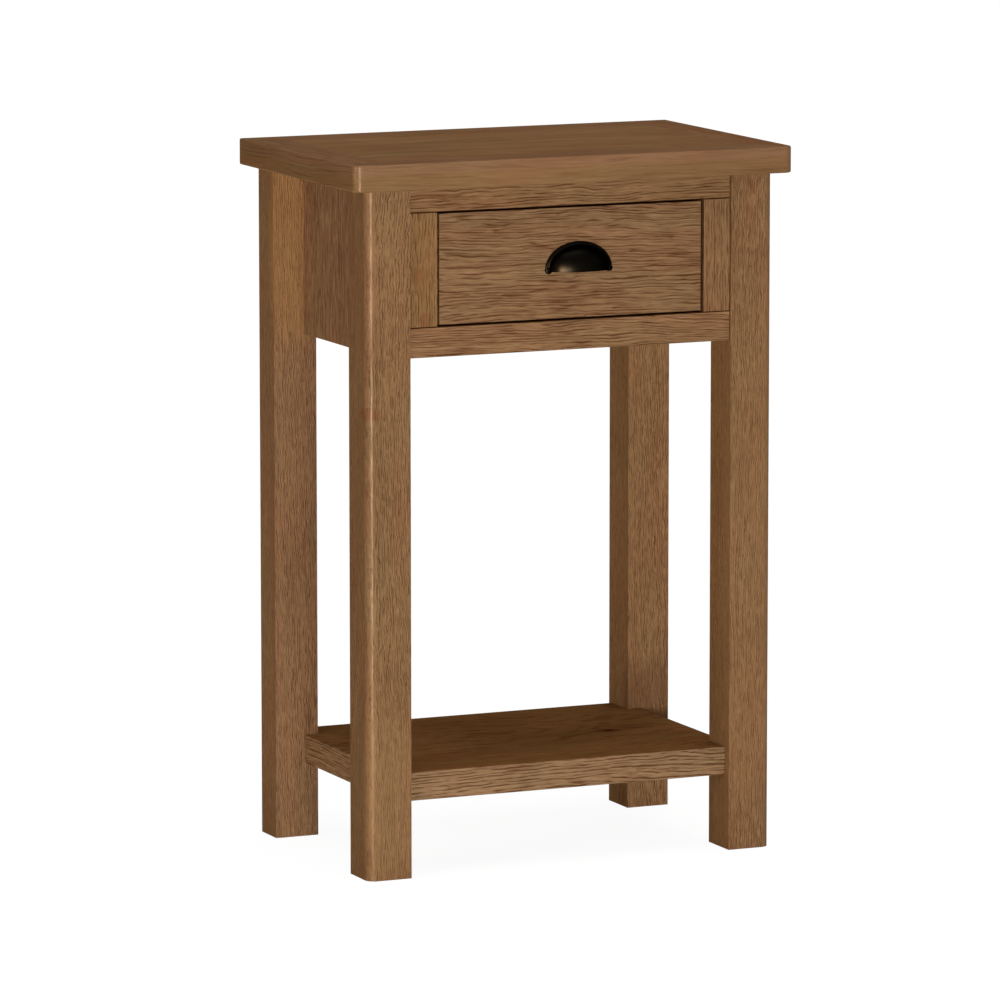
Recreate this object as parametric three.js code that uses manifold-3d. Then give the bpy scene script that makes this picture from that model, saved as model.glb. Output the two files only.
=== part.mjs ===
// Oak hall table with one dovetailed drawer under a framed top, and a low shelf.
// Millimetres, +Z up, front at -Y. The origin is on the floor, under the middle of the table's outer box.
// The driving sizes come first, and every other size and place is worked out from them.
import * as THREE from 'three';
import { mergeVertices } from 'three/addons/utils/BufferGeometryUtils.js';
import Module from 'manifold-3d';

const wasm = await Module();
wasm.setup();

// Overall
const tableHeight = 750;
const topWidth = 500;
const topDepth = 317;
const topThickness = 28;

// Top: a centre panel, tongued into four mitred boards
const topCornerRadius = 10.5;
const topArris = 1.5;
const topBoardWidth = 40;
const topTongueThickness = 8;
const topTongueLength = 9;

// Legs
const legSide = 48.7;
const legCornerRadius = 10;
const sideOverhang = 18;
const frontOverhang = 13;
const backOverhang = 0.6;

// Front frame round the drawer
const frameRecess = 2.3;
const railThickness = 20;
const upperRailHeight = 25;
const lowerRailHeight = 31.3;
const openingHeight = 119.5;
const stileWidth = 31.5;

// Side and back panels
const sidePanelInset = 35;
const sidePanelThickness = 16;
const sidePanelHeight = 178.9;
const backPanelInset = 12;
const backPanelThickness = 16;

// Tenons of rails, panels and stiles
const railTenonLength = 25;
const railTenonThickness = 10;
const railTenonShoulder = 5;
const panelTenonLength = 15;
const panelTenonThickness = 8;
const panelTenonShoulder = 18;
const stileTenonLength = 8;
const stileTenonShoulder = 4;

// Shelf and its dowels
const shelfThickness = 30;
const shelfTop = 110.2;
const shelfSideInset = 33;
const shelfFrontInset = 9.2;
const shelfBackInset = 6.5;
const dowelDiameter = 8;
const dowelLength = 40;
const dowelChamfer = 1.2;
const dowelSpacing = 18;

// Drawer box
const drawerSideGap = 2.3;
const drawerEndGap = 2;
const drawerRecess = 1;
const drawerFrontThickness = 18;
const drawerSideThickness = 12;
const drawerBackThickness = 12;
const drawerSideHeight = 104;
const drawerLap = 5;
const drawerBottomThickness = 5;
const drawerGrooveDepth = 5;
const drawerGrooveRise = 9;
const frontTailCount = 4;
const backTailCount = 3;
const tailSlopeShare = 1 / 6;
const pinNarrow = 7;

// Runners, guides, kickers and stops
const runnerThickness = 18;
const runnerOverlap = 14;
const guideHeight = 22;
const kickerThickness = 16;
const stopLength = 10;
const stopHeight = 20;

// Corner blocks and the screws that hold the top
const blockLeg = 46;
const blockTip = 12;
const blockHeight = 20;
const blockScrewInset = 15;
const topScrewBite = 14;
const topScrewShankDiameter = 4;
const topScrewHeadDiameter = 8;
const topScrewHeadHeight = 2.4;

// Cup pull and its screws
const pullWidth = 76.4;
const pullHeight = 33;
const pullReach = 19.5;
const pullOffCentre = 8.3;
const pullRise = 48.9;
const pullFlangeWidth = 3.6;
const pullFlangeThickness = 2;
const pullEarRadius = 3.7;
const pullEarThickness = 3.2;
const pullWall = 2;
const pullLipDrop = 2;
const pullLipRise = 4.6;
const bossRadius = 4.2;
const bossSpacing = 44;
const bossRise = 9.5;
const bossScrewDepth = 8;
const pullScrewShankDiameter = 4;
const pullScrewHeadDiameter = 8.4;
const pullScrewHeadHeight = 2.6;

// Fits
const glueLine = 0.1;
const tenonPlay = 0.15;
const slidePlay = 0.3;
const guidePlay = 0.7;
const kickerPlay = 1.5;
const overrun = 5;

// Facets of round forms
const cornerSegments = 8;
const arrisSegments = 2;
const dowelSides = 12;
const screwSides = 16;
const pullSides = 48;
const pullRings = 24;
const flangeSegments = 40;
const earSides = 20;

// Depth, from the middle of the top
const topFront = -topDepth / 2;
const topBack = topDepth / 2;
const legFront = topFront + frontOverhang;
const legBack = topBack - backOverhang;
const frameFront = legFront + frameRecess;
const frameBack = frameFront + railThickness;
const backPanelBack = legBack - backPanelInset;
const backPanelFront = backPanelBack - backPanelThickness;
const drawerFace = frameFront + drawerRecess;
const outerFront = Math.min(topFront, drawerFace - glueLine - pullReach);

// Width, from the middle of the top
const legOuter = topWidth / 2 - sideOverhang;
const legInner = legOuter - legSide;
const sidePanelOuter = legOuter - sidePanelInset;
const sidePanelInner = sidePanelOuter - sidePanelThickness;
const openingHalf = legInner - stileWidth;
const drawerHalf = openingHalf - drawerSideGap;

// Height, from the floor
const topUnderside = tableHeight - topThickness;
const openingTop = topUnderside - upperRailHeight;
const openingBottom = openingTop - openingHeight;
const frameBottom = openingBottom - lowerRailHeight;
const sidePanelBottom = topUnderside - sidePanelHeight;

// Finishes, and the ways to make a named piece of one

const oak = (color) => new THREE.MeshStandardMaterial({ color, roughness: 0.62, metalness: 0 });
const bronze = () => new THREE.MeshStandardMaterial({ color: 0x1d150d, roughness: 0.38, metalness: 0.85 });
const steel = () => new THREE.MeshStandardMaterial({ color: 0xb9b29c, roughness: 0.35, metalness: 1 });
const finishes = {
  face: () => oak(0x8c6947),
  shaded: () => oak(0x6e5034),
  pale: () => oak(0xa98a63),
  bronze,
  steel,
};

// A closed geometry as a solid that can be cut and joined.
function solidOf(geometry) {
  const bare = geometry.clone();
  bare.deleteAttribute('normal');
  bare.deleteAttribute('uv');
  const merged = mergeVertices(bare);
  const vertProperties = new Float32Array(merged.attributes.position.array);
  const triVerts = new Uint32Array(merged.index.array);
  return new wasm.Manifold(new wasm.Mesh({ numProp: 3, vertProperties, triVerts }));
}

function geometryOf(solid) {
  const mesh = solid.getMesh();
  const indexed = new THREE.BufferGeometry();
  indexed.setAttribute('position', new THREE.BufferAttribute(new Float32Array(mesh.vertProperties), 3));
  indexed.setIndex(new THREE.BufferAttribute(new Uint32Array(mesh.triVerts), 1));
  const faceted = indexed.toNonIndexed();
  faceted.computeVertexNormals();
  return faceted;
}

// A piece is shaped in its group's frame, and its own origin is then set at the middle of its box.
function addPiece(group, name, solid, finish) {
  const geometry = geometryOf(solid);
  geometry.computeBoundingBox();
  const middle = geometry.boundingBox.getCenter(new THREE.Vector3());
  geometry.translate(-middle.x, -middle.y, -middle.z);
  const mesh = new THREE.Mesh(geometry, finishes[finish]());
  mesh.name = name;
  mesh.position.copy(middle);
  group.add(mesh);
}

const sideName = (side) => (side < 0 ? 'left' : 'right');
const endName = (end) => (end < 0 ? 'front' : 'back');

// Basic solids

// A block between two limits on each axis, given in either order.
function block([x0, x1], [y0, y1], [z0, z1]) {
  const geometry = new THREE.BoxGeometry(Math.abs(x1 - x0), Math.abs(y1 - y0), Math.abs(z1 - z0));
  return solidOf(geometry.translate((x0 + x1) / 2, (y0 + y1) / 2, (z0 + z1) / 2));
}

function cylinder(radius, from, to, sides) {
  const start = new THREE.Vector3(...from);
  const run = new THREE.Vector3(...to).sub(start);
  const geometry = new THREE.CylinderGeometry(radius, radius, run.length(), sides);
  const turn = new THREE.Quaternion().setFromUnitVectors(new THREE.Vector3(0, 1, 0), run.clone().normalize());
  geometry.applyQuaternion(turn);
  const middle = start.addScaledVector(run, 1 / 2);
  return solidOf(geometry.translate(middle.x, middle.y, middle.z));
}

// An outline in the plan, raised from one height to another.
function upright(points, low, high) {
  const shape = new THREE.Shape(points.map(([x, y]) => new THREE.Vector2(x, y)));
  const geometry = new THREE.ExtrudeGeometry(shape, { depth: high - low, bevelEnabled: false });
  return solidOf(geometry.translate(0, 0, low));
}

// An outline of depth and height (y, z), swept across the width from one x to another.
function crossways(points, [x0, x1]) {
  const shape = new THREE.Shape(points.map(([y, z]) => new THREE.Vector2(y, z)));
  const geometry = new THREE.ExtrudeGeometry(shape, { depth: Math.abs(x1 - x0), bevelEnabled: false });
  geometry.rotateX(Math.PI / 2);
  geometry.rotateZ(Math.PI / 2);
  return solidOf(geometry.translate(Math.min(x0, x1), 0, 0));
}

const grown = ([a, b], by) => (a < b ? [a - by, b + by] : [a + by, b - by]);
const join = (solids) => solids.reduce((whole, next) => whole.add(next));
const cut = (solid, cuts) => cuts.reduce((rest, next) => rest.subtract(next), solid);

// Top

function topBlank() {
  const x = topWidth / 2;
  const r = topCornerRadius;
  const shape = new THREE.Shape();
  shape.moveTo(-x, topBack);
  shape.lineTo(-x, topFront + r);
  shape.absarc(-x + r, topFront + r, r, Math.PI, Math.PI * 3 / 2);
  shape.lineTo(x - r, topFront);
  shape.absarc(x - r, topFront + r, r, -Math.PI / 2, 0);
  shape.lineTo(x, topBack);
  const geometry = new THREE.ExtrudeGeometry(shape, {
    depth: topThickness - topArris * 2,
    curveSegments: cornerSegments,
    bevelThickness: topArris,
    bevelSize: topArris,
    bevelOffset: -topArris,
    bevelSegments: arrisSegments,
  });
  return solidOf(geometry.translate(0, 0, topUnderside + topArris));
}

const topGroove = [topUnderside + (topThickness - topTongueThickness) / 2,
  topUnderside + (topThickness + topTongueThickness) / 2];
const panelHalfWidth = topWidth / 2 - topBoardWidth;
const panelHalfDepth = topDepth / 2 - topBoardWidth;

// The plan of a long board (front or back) and of a short one, mitred at both ends.
function mitredPlan(along, halfLength, halfSpan) {
  const inner = [halfLength - topBoardWidth, halfSpan - topBoardWidth];
  const outer = [halfLength + overrun, halfSpan + overrun];
  const corners = [[-outer[0], outer[1]], [outer[0], outer[1]], [inner[0], inner[1]], [-inner[0], inner[1]]];
  const eased = corners.map(([u, v]) => [u - Math.sign(u) * glueLine, v]);
  return eased.map(([u, v]) => (along === 'x' ? [u, v] : [v, u]));
}

function topBoard(blank, plan, side) {
  const [mirrorX, mirrorY] = side;
  const keep = upright(plan.map(([x, y]) => [x * mirrorX, y * mirrorY]), topUnderside - overrun, tableHeight + overrun);
  const tongueReach = topTongueLength + tenonPlay;
  const groove = block([-panelHalfWidth - tongueReach, panelHalfWidth + tongueReach],
    [-panelHalfDepth - tongueReach, panelHalfDepth + tongueReach], grown(topGroove, tenonPlay));
  return blank.intersect(keep).subtract(groove);
}

function topPanel() {
  const x = panelHalfWidth - glueLine;
  const y = panelHalfDepth - glueLine;
  const tongue = block([-x - topTongueLength, x + topTongueLength], [-y - topTongueLength, y + topTongueLength],
    topGroove);
  const pilots = corners().map(([side, end]) => topScrewHole(side, end));
  return cut(block([-x, x], [-y, y], [topUnderside, tableHeight]).add(tongue), pilots);
}

function addTop(group) {
  const blank = topBlank();
  const longPlan = mitredPlan('x', topWidth / 2, topDepth / 2);
  const shortPlan = mitredPlan('y', topDepth / 2, topWidth / 2);
  addPiece(group, 'top_panel', topPanel(), 'face');
  addPiece(group, 'top_board_front', topBoard(blank, longPlan, [1, -1]), 'face');
  addPiece(group, 'top_board_back', topBoard(blank, longPlan, [1, 1]), 'face');
  addPiece(group, 'top_board_left', topBoard(blank, shortPlan, [-1, 1]), 'face');
  addPiece(group, 'top_board_right', topBoard(blank, shortPlan, [1, 1]), 'face');
}

// The four corners of the table: side -1 is left, end -1 is front.
function corners() {
  return [[-1, -1], [1, -1], [-1, 1], [1, 1]];
}

// Legs

// A square post with its outer corner rounded, turned so that the round faces the table's own corner.
function legBlank(side, end) {
  const h = legSide / 2;
  const r = legCornerRadius;
  const shape = new THREE.Shape();
  shape.moveTo(h, -h);
  shape.lineTo(h, h);
  shape.lineTo(-h, h);
  shape.lineTo(-h, -h + r);
  shape.absarc(-h + r, -h + r, r, Math.PI, Math.PI * 3 / 2);
  const geometry = new THREE.ExtrudeGeometry(shape, {
    depth: topUnderside - glueLine,
    curveSegments: cornerSegments,
    bevelEnabled: false,
  });
  const quarterTurns = end < 0 ? (side < 0 ? 0 : 1) : (side < 0 ? 3 : 2);
  geometry.rotateZ(quarterTurns * Math.PI / 2);
  const y = end < 0 ? legFront + h : legBack - h;
  return solidOf(geometry.translate(side * (legOuter - h), y, 0));
}

// Each tenon is given by its limits, and its mortise is the same block, grown by the play.
function mortise(tenon) {
  return block(...tenon.map((limits) => grown(limits, tenonPlay)));
}

const railTenonLimits = (bottom, top) => [bottom + railTenonShoulder, top - railTenonShoulder];
const panelTenonLimits = (bottom) => [bottom + panelTenonShoulder, topUnderside - panelTenonShoulder];

// The tenon of a front rail at one side: it starts at the leg's inner face.
function railTenon(side, bottom, top) {
  const middle = frameFront + railThickness / 2;
  return [[side * (legInner - glueLine), side * (legInner + railTenonLength)],
    [middle - railTenonThickness / 2, middle + railTenonThickness / 2],
    railTenonLimits(bottom, top)];
}

function backPanelTenon(side) {
  const middle = backPanelFront + backPanelThickness / 2;
  return [[side * (legInner - glueLine), side * (legInner + panelTenonLength)],
    [middle - panelTenonThickness / 2, middle + panelTenonThickness / 2],
    panelTenonLimits(frameBottom)];
}

function sidePanelTenon(side, end) {
  const middle = side * (sidePanelOuter - sidePanelThickness / 2);
  const legFace = end < 0 ? legFront + legSide : legBack - legSide;
  return [[middle - panelTenonThickness / 2, middle + panelTenonThickness / 2],
    [legFace - end * glueLine, legFace + end * panelTenonLength],
    panelTenonLimits(sidePanelBottom)];
}

function leg(side, end) {
  const mortises = [mortise(sidePanelTenon(side, end))];
  if (end < 0) {
    mortises.push(mortise(railTenon(side, openingTop, topUnderside)));
    mortises.push(mortise(railTenon(side, frameBottom, openingBottom)));
  } else {
    mortises.push(mortise(backPanelTenon(side)));
  }
  const holes = dowelPlaces(side, end).map((y) => dowelHole(side, y));
  return cut(legBlank(side, end), [...mortises, ...holes]);
}

function addLegs(group) {
  for (const [side, end] of corners()) {
    addPiece(group, `leg_${endName(end)}_${sideName(side)}`, leg(side, end), 'face');
  }
}

// Front frame

const frameDepth = [frameFront, frameBack];
const betweenLegs = [-legInner + glueLine, legInner - glueLine];

// A stile's stub tenon, at the top (+1) or the bottom (-1) of the opening.
function stileTenon(side, up) {
  const middle = frameFront + railThickness / 2;
  const face = up > 0 ? openingTop : openingBottom;
  return [[side * (openingHalf + stileTenonShoulder), side * (legInner - stileTenonShoulder)],
    [middle - railTenonThickness / 2, middle + railTenonThickness / 2],
    [face - up * glueLine, face + up * stileTenonLength]];
}

function frontRail(bottom, top, opens) {
  const tenons = [-1, 1].map((side) => block(...railTenon(side, bottom, top)));
  const mortises = [-1, 1].map((side) => mortise(stileTenon(side, opens)));
  return cut(join([block(betweenLegs, frameDepth, [bottom, top]), ...tenons]), mortises);
}

function stile(side) {
  const body = block([side * openingHalf, side * (legInner - glueLine)], frameDepth,
    [openingBottom + glueLine, openingTop - glueLine]);
  return join([body, block(...stileTenon(side, 1)), block(...stileTenon(side, -1))]);
}

function addFrontFrame(group) {
  addPiece(group, 'front_rail_upper', frontRail(openingTop, topUnderside - glueLine, 1), 'face');
  addPiece(group, 'front_rail_lower', frontRail(frameBottom, openingBottom, -1), 'face');
  for (const side of [-1, 1]) {
    addPiece(group, `front_stile_${sideName(side)}`, stile(side), 'face');
  }
}

// Side and back panels

function sidePanel(side) {
  const body = block([side * sidePanelInner, side * sidePanelOuter],
    [legFront + legSide + glueLine, legBack - legSide - glueLine], [sidePanelBottom, topUnderside - glueLine]);
  return join([body, ...[-1, 1].map((end) => block(...sidePanelTenon(side, end)))]);
}

function backPanel() {
  const body = block(betweenLegs, [backPanelFront, backPanelBack], [frameBottom, topUnderside - glueLine]);
  return join([body, ...[-1, 1].map((side) => block(...backPanelTenon(side)))]);
}

function addPanels(group) {
  for (const side of [-1, 1]) {
    addPiece(group, `side_panel_${sideName(side)}`, sidePanel(side), 'shaded');
  }
  addPiece(group, 'back_panel', backPanel(), 'shaded');
}

// Shelf, notched round the legs, and its dowels

const shelfBottom = shelfTop - shelfThickness;
const dowelHeight = shelfTop - shelfThickness / 2;

function dowelPlaces(side, end) {
  const shelfEnd = end < 0 ? legFront + shelfFrontInset : legBack - shelfBackInset;
  const legFace = end < 0 ? legFront + legSide : legBack - legSide;
  const middle = (shelfEnd + legFace) / 2;
  return [middle - dowelSpacing / 2, middle + dowelSpacing / 2];
}

function dowelHole(side, y) {
  const reach = dowelLength / 2 + tenonPlay;
  return cylinder(dowelDiameter / 2 + tenonPlay, [side * (legInner - reach), y, dowelHeight],
    [side * (legInner + reach), y, dowelHeight], dowelSides);
}

function dowel(side, y) {
  const r = dowelDiameter / 2;
  const h = dowelLength / 2;
  const c = dowelChamfer;
  const profile = [[0, -h], [r - c, -h], [r, -h + c], [r, h - c], [r - c, h], [0, h]];
  const geometry = new THREE.LatheGeometry(profile.map(([x, z]) => new THREE.Vector2(x, z)), dowelSides);
  geometry.rotateZ(-Math.PI / 2);
  return solidOf(geometry.translate(side * legInner, y, dowelHeight));
}

function shelf() {
  const half = legOuter - shelfSideInset;
  const neck = legInner - glueLine;
  const front = legFront + shelfFrontInset;
  const back = legBack - shelfBackInset;
  const frontNotch = legFront + legSide + glueLine;
  const backNotch = legBack - legSide - glueLine;
  const rightHalf = [[neck, front], [neck, frontNotch], [half, frontNotch], [half, backNotch], [neck, backNotch],
    [neck, back]];
  const leftHalf = rightHalf.map(([x, y]) => [-x, y]).reverse();
  const holes = corners().flatMap(([side, end]) => dowelPlaces(side, end).map((y) => dowelHole(side, y)));
  return cut(upright([...rightHalf, ...leftHalf], shelfBottom, shelfTop), holes);
}

function addShelf(group) {
  addPiece(group, 'shelf', shelf(), 'face');
  for (const [side, end] of corners()) {
    dowelPlaces(side, end).forEach((y, index) => {
      addPiece(group, `shelf_dowel_${endName(end)}_${sideName(side)}_${index + 1}`, dowel(side, y), 'pale');
    });
  }
}

// What carries the drawer: runners below, guides beside, kickers above, stops behind

const carcassDepth = [frameBack + glueLine, backPanelFront - glueLine];
const guideFace = drawerHalf + guidePlay;
const runnerReach = drawerHalf - runnerOverlap;
const kickerBottom = openingBottom + slidePlay + drawerSideHeight + kickerPlay;

function addDrawerSupports(group) {
  for (const side of [-1, 1]) {
    const wall = side * (sidePanelInner - glueLine);
    const name = sideName(side);
    addPiece(group, `drawer_runner_${name}`, block([side * runnerReach, wall], carcassDepth,
      [openingBottom - runnerThickness, openingBottom]), 'pale');
    addPiece(group, `drawer_guide_${name}`, block([side * guideFace, wall], carcassDepth,
      [openingBottom + glueLine, openingBottom + glueLine + guideHeight]), 'pale');
    addPiece(group, `drawer_kicker_${name}`, block([side * runnerReach, wall], carcassDepth,
      [kickerBottom, kickerBottom + kickerThickness]), 'pale');
    addPiece(group, `drawer_stop_${name}`, block([side * (drawerHalf - drawerSideThickness), side * drawerHalf],
      [backPanelFront - glueLine - stopLength, backPanelFront - glueLine],
      [openingBottom + glueLine, openingBottom + glueLine + stopHeight]), 'pale');
  }
}

// Corner blocks and top screws

const blockTop = topUnderside - glueLine;
const blockCorner = (side, end) => [side * (sidePanelInner - glueLine),
  end < 0 ? frameBack + glueLine : backPanelFront - glueLine];

function screwPlace(side, end) {
  const [x, y] = blockCorner(side, end);
  return [x - side * blockScrewInset, y - end * blockScrewInset];
}

function topScrewHole(side, end) {
  const [x, y] = screwPlace(side, end);
  return cylinder(topScrewShankDiameter / 2 + tenonPlay, [x, y, blockTop - blockHeight - overrun],
    [x, y, topUnderside + topScrewBite + tenonPlay], screwSides);
}

function cornerBlock(side, end) {
  const [x, y] = blockCorner(side, end);
  const outline = [[0, 0], [blockLeg, 0], [blockLeg, blockTip], [blockTip, blockLeg], [0, blockLeg]];
  const plan = outline.map(([u, v]) => [x - side * u, y - end * v]);
  return upright(plan, blockTop - blockHeight, blockTop).subtract(topScrewHole(side, end));
}

// A screw as a lathed profile along +Z: a domed head below zero, then the shank with its point.
function screw(shankDiameter, headDiameter, headHeight, length) {
  const r = shankDiameter / 2;
  const profile = [[0, -headHeight], [headDiameter / 4, -headHeight], [headDiameter / 2, -headHeight / 2],
    [headDiameter / 2, 0], [r, 0], [r, length - shankDiameter], [0, length]];
  return new THREE.LatheGeometry(profile.map(([x, z]) => new THREE.Vector2(x, z)), screwSides).rotateX(Math.PI / 2);
}

function topScrew(side, end) {
  const [x, y] = screwPlace(side, end);
  const length = blockHeight + glueLine + topScrewBite;
  const geometry = screw(topScrewShankDiameter, topScrewHeadDiameter, topScrewHeadHeight, length);
  return solidOf(geometry.translate(x, y, blockTop - blockHeight - glueLine));
}

function addCornerBlocks(group) {
  for (const [side, end] of corners()) {
    const name = `${endName(end)}_${sideName(side)}`;
    addPiece(group, `corner_block_${name}`, cornerBlock(side, end), 'pale');
    addPiece(group, `top_screw_${name}`, topScrew(side, end), 'steel');
  }
}

// Drawer, in its own group: zero is the middle of the drawer's face at the foot of the opening

const drawerLength = backPanelFront - glueLine - stopLength - slidePlay - drawerFace;
const sideFoot = slidePlay;
const sideHead = sideFoot + drawerSideHeight;
const bottomLow = sideFoot + drawerGrooveRise;
const bottomHigh = bottomLow + drawerBottomThickness;
const frontBack = drawerFrontThickness;
const frontTailLength = drawerFrontThickness - drawerLap;
const backFront = drawerLength - drawerBackThickness;

// The tails of one corner as trapeziums in depth and height, narrow at the baseline.
function tails(baseline, reach, low, high, count) {
  const pitch = (high - low) / count;
  const flare = Math.abs(reach) * tailSlopeShare;
  return Array.from({ length: count }, (_, index) => {
    const foot = low + index * pitch + pinNarrow / 2;
    const head = low + (index + 1) * pitch - pinNarrow / 2;
    return [[baseline, foot + flare], [baseline + reach, foot], [baseline + reach, head], [baseline, head - flare]];
  });
}

const frontTails = tails(frontBack, -frontTailLength, sideFoot, sideHead, frontTailCount);
const backTails = tails(backFront, drawerBackThickness, bottomHigh + glueLine, sideHead, backTailCount);

// The side's outline runs up its front end, back along the top and down its back end.
function drawerSide(side) {
  const outline = [[frontBack + glueLine, sideFoot]];
  for (const [narrowFoot, wideFoot, wideHead, narrowHead] of frontTails) {
    outline.push([frontBack + glueLine, narrowFoot[1]], wideFoot, wideHead, [frontBack + glueLine, narrowHead[1]]);
  }
  outline.push([frontBack + glueLine, sideHead], [backFront - glueLine, sideHead]);
  for (const [narrowFoot, wideFoot, wideHead, narrowHead] of [...backTails].reverse()) {
    outline.push([backFront - glueLine, narrowHead[1]], wideHead, wideFoot, [backFront - glueLine, narrowFoot[1]]);
  }
  outline.push([backFront - glueLine, bottomHigh], [drawerLength, bottomHigh], [drawerLength, sideFoot]);
  const inner = side * (drawerHalf - drawerSideThickness);
  const groove = block([inner - side * overrun, inner + side * (drawerGrooveDepth + tenonPlay)],
    [frontBack - frontTailLength - overrun, drawerLength + overrun], grown([bottomLow, bottomHigh], tenonPlay));
  return crossways(outline, [inner, side * drawerHalf]).subtract(groove);
}

// A socket is the tail grown by the glue line, run out past the inner face.
function socket(tail, side, away) {
  const [narrowFoot, wideFoot, wideHead, narrowHead] = tail;
  const past = narrowFoot[0] - away * overrun;
  const outline = [[past, narrowFoot[1] - glueLine], [narrowFoot[0], narrowFoot[1] - glueLine],
    [wideFoot[0] + away * glueLine, wideFoot[1] - glueLine], [wideHead[0] + away * glueLine, wideHead[1] + glueLine],
    [narrowHead[0], narrowHead[1] + glueLine], [past, narrowHead[1] + glueLine]];
  const inner = side * (drawerHalf - drawerSideThickness - glueLine);
  return crossways(outline, [inner, side * (drawerHalf + overrun)]);
}

function drawerFront() {
  const board = block([-drawerHalf, drawerHalf], [0, frontBack], [drawerEndGap, openingHeight - drawerEndGap]);
  const sockets = [-1, 1].flatMap((side) => frontTails.map((tail) => socket(tail, side, -1)));
  const groove = block(grooveWidth(), [frontBack - drawerGrooveDepth - tenonPlay, frontBack + overrun],
    grown([bottomLow, bottomHigh], tenonPlay));
  const holes = bossPlaces().map((x) => cylinder(pullScrewShankDiameter / 2 + tenonPlay,
    [x, -overrun, pullBossHeight], [x, frontBack + overrun, pullBossHeight], screwSides));
  return cut(board, [...sockets, groove, ...holes]);
}

function grooveWidth() {
  const half = drawerHalf - drawerSideThickness + drawerGrooveDepth + tenonPlay;
  return [-half, half];
}

// The back stands on the bottom, between the sides' tails.
function drawerBack() {
  const board = block([-drawerHalf, drawerHalf], [backFront, drawerLength], [bottomHigh + glueLine * 2, sideHead]);
  const sockets = [-1, 1].flatMap((side) => backTails.map((tail) => socket(tail, side, 1)));
  return cut(board, sockets);
}

function drawerBottom() {
  const half = drawerHalf - drawerSideThickness + drawerGrooveDepth;
  return block([-half, half], [frontBack - drawerGrooveDepth, drawerLength], [bottomLow, bottomHigh]);
}

function addDrawer(group) {
  addPiece(group, 'drawer_front', drawerFront(), 'face');
  for (const side of [-1, 1]) {
    addPiece(group, `drawer_side_${sideName(side)}`, drawerSide(side), 'pale');
  }
  addPiece(group, 'drawer_back', drawerBack(), 'pale');
  addPiece(group, 'drawer_bottom', drawerBottom(), 'pale');
}

// Cup pull, in the drawer's frame: a half dome open below, on a narrow flange with an ear at each end

const pullBack = -glueLine;
const cupHalfWidth = pullWidth / 2 - pullFlangeWidth;
const cupHeight = pullHeight - pullFlangeWidth;
const cupCentre = pullRise + pullLipRise;
const pullBossHeight = cupCentre + bossRise;
const bossPlaces = () => [-1, 1].map((side) => pullOffCentre + side * bossSpacing / 2);

function ellipsoid(halfWidth, reach, height) {
  const ball = new THREE.SphereGeometry(1, pullSides, pullRings);
  ball.rotateX(Math.PI / 2);
  return solidOf(ball.scale(halfWidth, reach, height).translate(pullOffCentre, pullBack, cupCentre));
}

// The flange's outline in width and height: an arch between two half ellipses, as a solid slab.
function flange() {
  const arch = new THREE.Shape();
  const rise = pullEarRadius;
  arch.absellipse(0, rise, pullWidth / 2, pullHeight - rise, 0, Math.PI);
  arch.absellipse(0, rise, pullWidth / 2 - pullFlangeWidth, pullHeight - pullFlangeWidth - rise, Math.PI, 0, true);
  const geometry = new THREE.ExtrudeGeometry(arch, {
    depth: pullFlangeThickness,
    curveSegments: flangeSegments,
    bevelEnabled: false,
  });
  geometry.rotateX(Math.PI / 2);
  return solidOf(geometry.translate(pullOffCentre, pullBack, pullRise));
}

function ear(side) {
  const x = pullOffCentre + side * (pullWidth / 2 - pullEarRadius);
  const z = pullRise + pullEarRadius;
  return cylinder(pullEarRadius, [x, pullBack, z], [x, pullBack - pullEarThickness, z], earSides);
}

// What the cup may fill: in front of the drawer's face and above its open mouth.
function cupSpace() {
  return block([pullOffCentre - pullWidth, pullOffCentre + pullWidth], [pullBack, pullBack - pullReach - overrun],
    [cupCentre - pullLipDrop, cupCentre + pullHeight]);
}

function cupPull() {
  const outer = ellipsoid(cupHalfWidth, pullReach, cupHeight - pullLipRise).intersect(cupSpace());
  const inner = ellipsoid(cupHalfWidth - pullWall, pullReach - pullWall, cupHeight - pullLipRise - pullWall);
  const bosses = bossPlaces().map((x) => cylinder(bossRadius, [x, pullBack, pullBossHeight],
    [x, pullBack - pullReach, pullBossHeight], screwSides).intersect(outer));
  const holes = bossPlaces().map((x) => cylinder(pullScrewShankDiameter / 2 + tenonPlay,
    [x, pullBack + overrun, pullBossHeight], [x, pullBack - bossScrewDepth, pullBossHeight], screwSides));
  return cut(join([outer.subtract(inner), ...bosses, flange(), ear(-1), ear(1)]), holes);
}

// The pull's screws come through the drawer front from inside, into the bosses.
function pullScrew(x) {
  const length = glueLine + drawerFrontThickness + bossScrewDepth;
  const geometry = screw(pullScrewShankDiameter, pullScrewHeadDiameter, pullScrewHeadHeight, length);
  geometry.rotateX(Math.PI / 2);
  return solidOf(geometry.translate(x, frontBack + glueLine, pullBossHeight));
}

function addPull(group) {
  addPiece(group, 'cup_pull', cupPull(), 'bronze');
  bossPlaces().forEach((x, index) => {
    addPiece(group, `pull_screw_${sideName(index === 0 ? -1 : 1)}`, pullScrew(x), 'steel');
  });
}

// The whole table

const drawer = new THREE.Group();
drawer.position.set(0, drawerFace, openingBottom);
addDrawer(drawer);
addPull(drawer);

const table = new THREE.Group();
table.position.y = -(outerFront + topBack) / 2;
addTop(table);
addLegs(table);
addFrontFrame(table);
addPanels(table);
addShelf(table);
addDrawerSupports(table);
addCornerBlocks(table);
table.add(drawer);

const hallTable = new THREE.Group();
hallTable.add(table);

export default hallTable;
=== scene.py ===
import math
import random

import bmesh
import bpy
from mathutils import Euler, Matrix, Vector


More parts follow.
